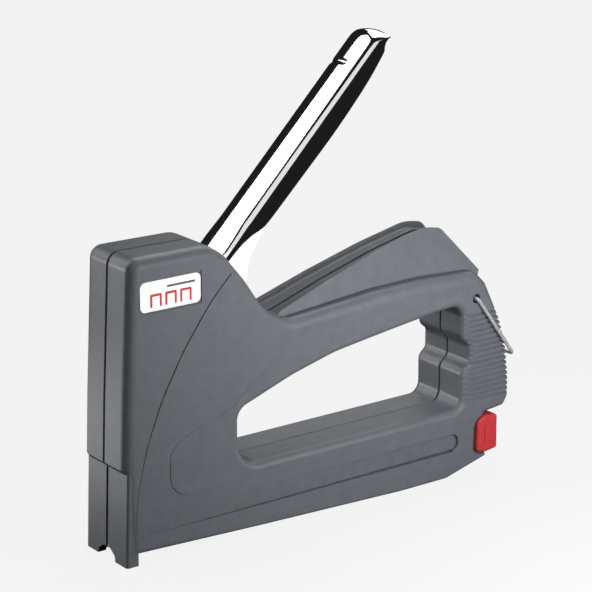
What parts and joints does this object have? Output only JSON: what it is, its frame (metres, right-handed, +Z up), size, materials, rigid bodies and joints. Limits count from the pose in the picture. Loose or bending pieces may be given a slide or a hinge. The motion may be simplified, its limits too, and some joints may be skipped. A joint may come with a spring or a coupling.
{
  "type": "staple gun",
  "caption": "Hand staple gun with a slate grey two-half housing, a D-shaped finger opening, a chrome squeeze lever, a wire lock bail and a red pull-out magazine cap.",
  "frame": {"origin": "middle of the base: the tool stands level on its nose feet and its rear keel at Z = 0", "axes": "+X along the tool from the nose to the rear, +Z up through the nose, +Y across the width (the tool's right side)"},
  "size_m": [0.1618, 0.0294, 0.1615],
  "materials": {
    "slate_body": "fine-grained slate grey coat, satin",
    "label": "printed white label, satin",
    "chrome": "bright chrome plate",
    "steel": "bright steel",
    "brass": "turned brass",
    "dark_steel": "dark hardened steel",
    "spring_steel": "spring steel",
    "rubber": "black rubber",
    "staple_wire": "galvanised wire",
    "red_plastic": "satin red plastic",
    "wire": "bright steel wire",
    "screw_steel": "dark steel screws"
  },
  "bodies": {
    "housing": {"housing_left": "slate_body", "housing_right": "slate_body", "label_badge": "label", "lever_pin": "steel", "spring_guide": "dark_steel", "main_spring": "spring_steel", "rubber_stop": "rubber", "nose_plate": "steel", "nose_pin": "steel", "magazine_channel": "steel", "housing_screw_1": "screw_steel", "housing_screw_2": "screw_steel", "housing_screw_3": "screw_steel", "housing_screw_4": "screw_steel", "housing_screw_5": "screw_steel", "housing_screw_6": "screw_steel"},
    "lever": {"lever": "chrome", "pivot_sleeve": "brass", "lift_roller": "steel", "roller_pin": "dark_steel"},
    "striker": {"plunger": "dark_steel", "driver_blade": "steel"},
    "magazine": {"magazine_cap": "red_plastic", "staple_rail": "steel", "staple_strip": "staple_wire", "guide_rod": "steel", "catch_leaf": "spring_steel", "pusher_spring": "spring_steel"},
    "pusher": {"pusher": "dark_steel"},
    "bail": {"lock_bail": "wire"}
  },
  "joints": [
    {"name": "lever_hinge", "type": "hinge", "parent": "housing", "child": "lever", "pos_m": [-0.0354, 0, 0.071], "axis": [0, 1, 0], "range_deg": [0, 46.4], "stiffness_Nm_per_rad": 0.6, "springref_deg": -22.92},
    {"name": "striker_slide", "type": "slide", "parent": "housing", "child": "striker", "axis": [0, 0, 1], "range_m": [0, 0.0172], "deforming": ["main_spring"]},
    {"name": "magazine_slide", "type": "slide", "parent": "housing", "child": "magazine", "axis": [1, 0, 0], "range_m": [0, 0.09]},
    {"name": "pusher_slide", "type": "slide", "parent": "magazine", "child": "pusher", "axis": [1, 0, 0], "range_m": [0, 0.06], "stiffness_N_per_m": 25, "springref_m": -0.04, "deforming": ["pusher_spring"]},
    {"name": "bail_hinge", "type": "hinge", "parent": "housing", "child": "bail", "pos_m": [0.0635, 0, 0.0643], "axis": [0, -1, 0], "range_deg": [0, 157.4]}
  ],
  "couplings": [
    {"joint": "striker_slide", "follows": "lever_hinge", "m_per_rad": 0.02075}
  ]
}
